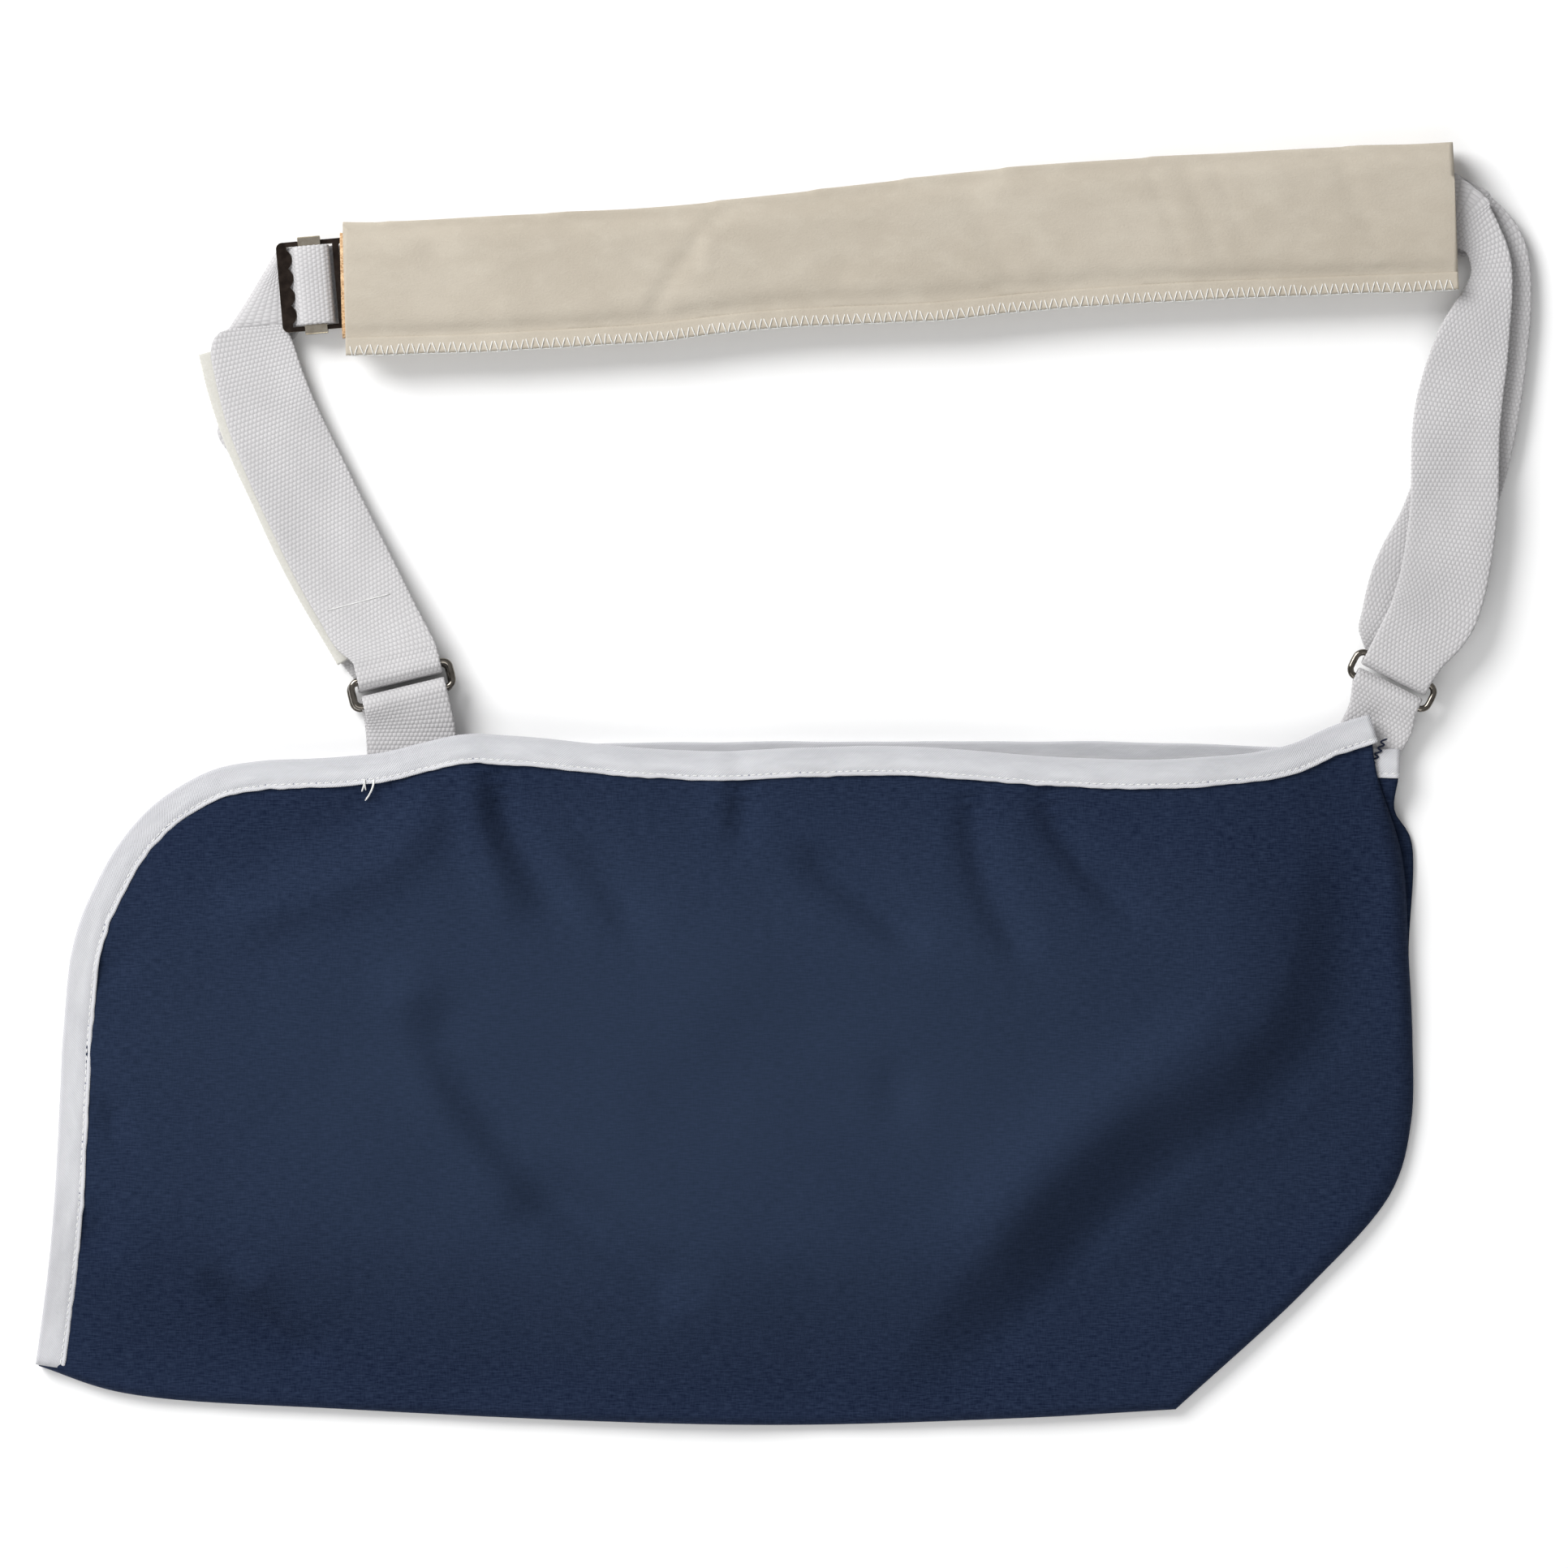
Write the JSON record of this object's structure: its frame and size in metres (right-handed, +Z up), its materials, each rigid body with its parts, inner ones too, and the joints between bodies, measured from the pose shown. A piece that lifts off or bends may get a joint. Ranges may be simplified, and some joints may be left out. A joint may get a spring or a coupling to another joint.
{
  "type": "arm sling",
  "caption": "Cloth arm sling lying flat: bound pouch with an opening hand end, ringed webbing tabs, padded neck strap, toothed slide buckle and peel-off closure.",
  "frame": {"origin": "bottom centre of the whole sling as it lies flat", "axes": "+X from the hand end to the elbow end, +Y from the pouch to the neck pad, +Z up from the surface it lies on"},
  "size_m": [0.4328, 0.3708, 0.0136],
  "materials": {
    "navy_cloth": "matt crosswise-ribbed poplin",
    "white_binding": "matt twill tape, lockstitched",
    "white_webbing": "matt woven webbing with a pebbled weave",
    "cream_velour": "brushed nap",
    "tan_foam": "open-cell foam",
    "white_thread": "overlock thread",
    "navy_thread": "sewing thread and turned-in seam cloth",
    "cream_patch": "hook-and-loop tape",
    "nickel": "bright nickel plate",
    "dark_nickel": "smoky nickel plate on stamped steel"
  },
  "bodies": {
    "pouch": {"back_panel": "navy_cloth", "front_panel": "navy_cloth", "back_binding": "white_binding", "front_binding": "white_binding", "elbow_seam": "navy_thread", "dart_seam": "navy_thread", "tab_left_front_sewn_end": "white_webbing", "bartack_left_front": "navy_thread", "tab_left_back_sewn_end": "white_webbing", "bartack_left_back": "navy_thread", "tab_right_sewn_end": "white_webbing", "bartack_right": "navy_thread"},
    "wrist_flap": {"front_panel_wrist_end": "navy_cloth", "front_binding_wrist_end": "white_binding"},
    "harness": {"tab_left_front": "white_webbing", "tab_left_back": "white_webbing", "tab_right": "white_webbing", "buckle_frame": "dark_nickel", "shoulder_strap": "white_webbing", "strap_left": "white_webbing", "loop_patch": "cream_patch"},
    "closure": {"strap_hook_end": "white_webbing", "hook_patch": "cream_patch"},
    "left_front_ring": {"ring_left_front": "nickel"},
    "left_back_ring": {"ring_left_back": "nickel"},
    "right_ring": {"ring_right": "nickel"},
    "neck_pad": {"pad_cover": "cream_velour", "pad_foam": "tan_foam", "pad_overlock": "white_thread"},
    "floating_bar": {"buckle_bar": "nickel", "strap_over_bar": "white_webbing"}
  },
  "joints": [
    {"name": "wrist_flap_open", "type": "hinge", "parent": "pouch", "child": "wrist_flap", "pos_m": [-0.1919, -0.1765, 0.002], "axis": [0.9903, -0.1392, 0], "range_deg": [0, 40]},
    {"name": "strap_lift", "type": "hinge", "parent": "pouch", "child": "harness", "pos_m": [-0.107, 0.0148, 0.0109], "axis": [0.9998, 0.0204, 0], "range_deg": [0, 90]},
    {"name": "hook_end_peel", "type": "hinge", "parent": "harness", "child": "closure", "pos_m": [-0.1122, 0.0368, 0.0109], "axis": [0.9724, 0.2334, 0], "range_deg": [0, 80]},
    {"name": "ring_left_front_swing", "type": "hinge", "parent": "harness", "child": "left_front_ring", "pos_m": [-0.10941, 0.02521, 0.008], "axis": [0.9724, 0.2334, 0], "range_deg": [-8, 0]},
    {"name": "ring_left_back_swing", "type": "hinge", "parent": "harness", "child": "left_back_ring", "pos_m": [-0.11011, 0.0246, 0.0026], "axis": [0.9724, 0.2334, 0], "range_deg": [0, 8]},
    {"name": "ring_right_swing", "type": "hinge", "parent": "harness", "child": "right_ring", "pos_m": [0.17409, 0.02651, 0.00635], "axis": [0.8926, -0.4509, 0], "range_deg": [-6, 6]},
    {"name": "pad_slide", "type": "slide", "parent": "harness", "child": "neck_pad", "axis": [0.9978, 0.0669, 0], "range_m": [-0.004, 0.001]},
    {"name": "bar_slide", "type": "slide", "parent": "harness", "child": "floating_bar", "axis": [0.9962, 0.0872, 0], "range_m": [-0.0003, 0.0012]}
  ],
  "couplings": [
    {"joint": "ring_left_back_swing", "follows": "ring_left_front_swing", "ratio": -1}
  ]
}
